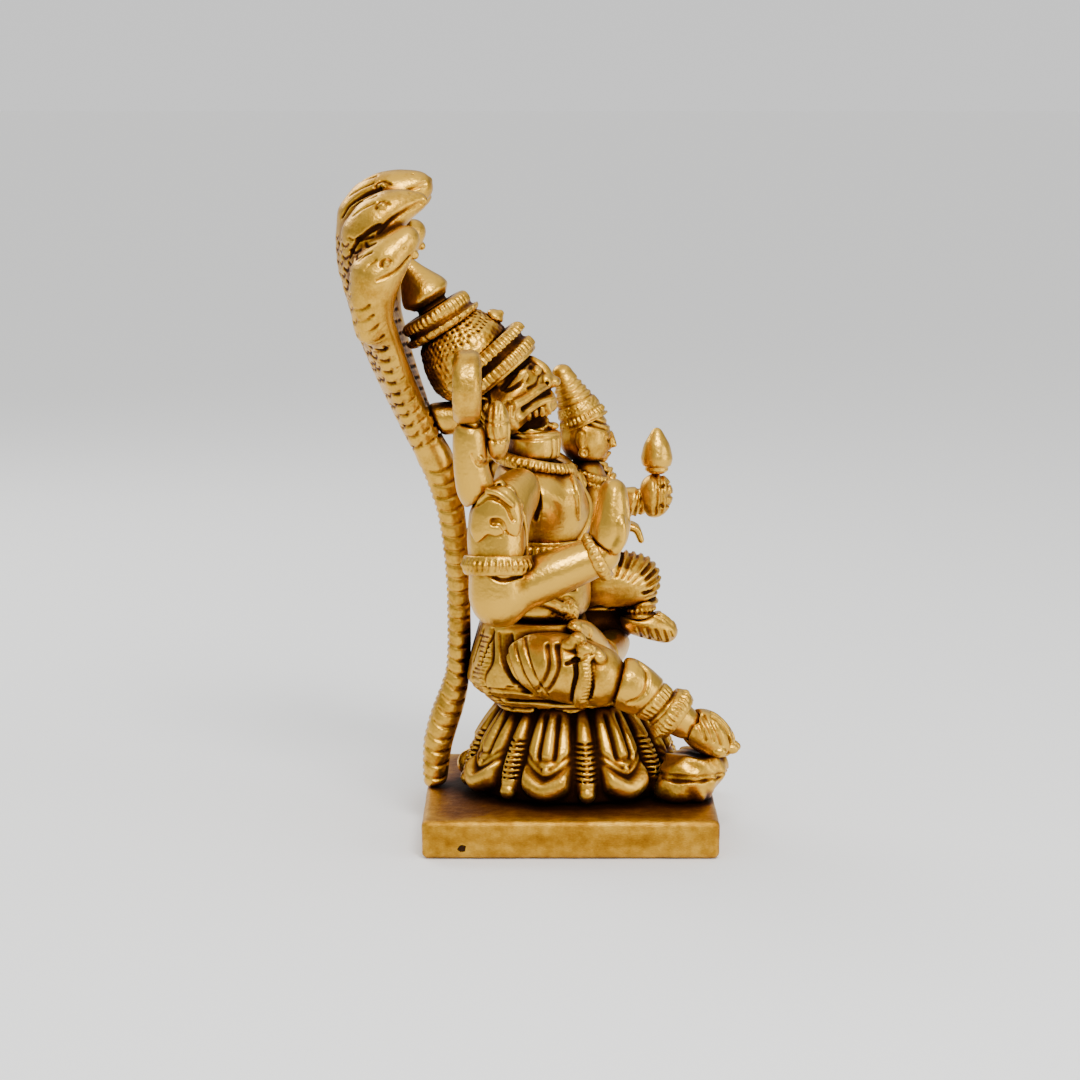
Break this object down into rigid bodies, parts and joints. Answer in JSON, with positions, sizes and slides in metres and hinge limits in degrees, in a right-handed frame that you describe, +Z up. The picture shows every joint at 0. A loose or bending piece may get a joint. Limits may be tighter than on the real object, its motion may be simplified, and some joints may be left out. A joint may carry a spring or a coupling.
{
  "type": "seated lion-headed deity figurine with consort and serpent canopy",
  "caption": "Cast brass devotional figurine: lion-headed deity on a lotus pedestal, consort on the left knee, multi-headed serpent canopy behind, on a rectangular plinth.",
  "frame": {"origin": "middle of the plinth's underside", "axes": "+X to the front of the figure, +Y to the deity's left, +Z up"},
  "size_m": [0.0709, 0.0548, 0.1181],
  "materials": {
    "polished_brass": "satin, hand rubbed",
    "antiqued_brass": "satin with dark patina left in the recesses",
    "filed_brass": "filed, with fine scratch marks"
  },
  "bodies": {
    "root": {"chakra_disc": "polished_brass", "chest": "polished_brass", "conch": "polished_brass", "consort_crown": "antiqued_brass", "consort_feet": "polished_brass", "consort_fist": "antiqued_brass", "consort_head": "antiqued_brass", "consort_left_arm": "polished_brass", "consort_legs": "polished_brass", "consort_right_arm": "polished_brass", "consort_skirt": "antiqued_brass", "consort_torso": "polished_brass", "crown_dome": "antiqued_brass", "crown_finial": "polished_brass", "crown_jewel": "antiqued_brass", "crown_rings": "antiqued_brass", "diadem": "antiqued_brass", "footrest": "antiqued_brass", "hips": "polished_brass", "hood_strut": "polished_brass", "left_armlet": "antiqued_brass", "left_bangle": "antiqued_brass", "left_foot": "antiqued_brass", "left_forearm": "polished_brass", "left_rear_arm": "polished_brass", "left_rear_fingers": "antiqued_brass", "left_shin": "polished_brass", "left_thigh": "antiqued_brass", "left_upper_arm": "polished_brass", "lion_beard": "polished_brass", "lion_ear_left": "antiqued_brass", "lion_ear_right": "antiqued_brass", "lion_head": "polished_brass", "lotus_bud": "polished_brass", "lotus_pedestal": "antiqued_brass", "necklace": "antiqued_brass", "plinth": "filed_brass", "right_anklet": "antiqued_brass", "right_arm_leaf": "antiqued_brass", "right_armlet": "antiqued_brass", "right_bangle": "antiqued_brass", "right_foot": "antiqued_brass", "right_forearm": "polished_brass", "right_hand": "polished_brass", "right_rear_arm": "polished_brass", "right_rear_fingers": "antiqued_brass", "right_shin": "polished_brass", "right_thigh": "antiqued_brass", "right_upper_arm": "polished_brass", "seat_block": "antiqued_brass", "seat_cushion": "antiqued_brass", "serpent_body": "antiqued_brass", "serpent_head_centre": "polished_brass", "serpent_head_left_lower": "polished_brass", "serpent_head_left_upper": "polished_brass", "serpent_head_right_lower": "polished_brass", "serpent_head_right_upper": "polished_brass", "serpent_hood": "polished_brass", "waist_belt": "antiqued_brass"}
  },
  "joints": []
}
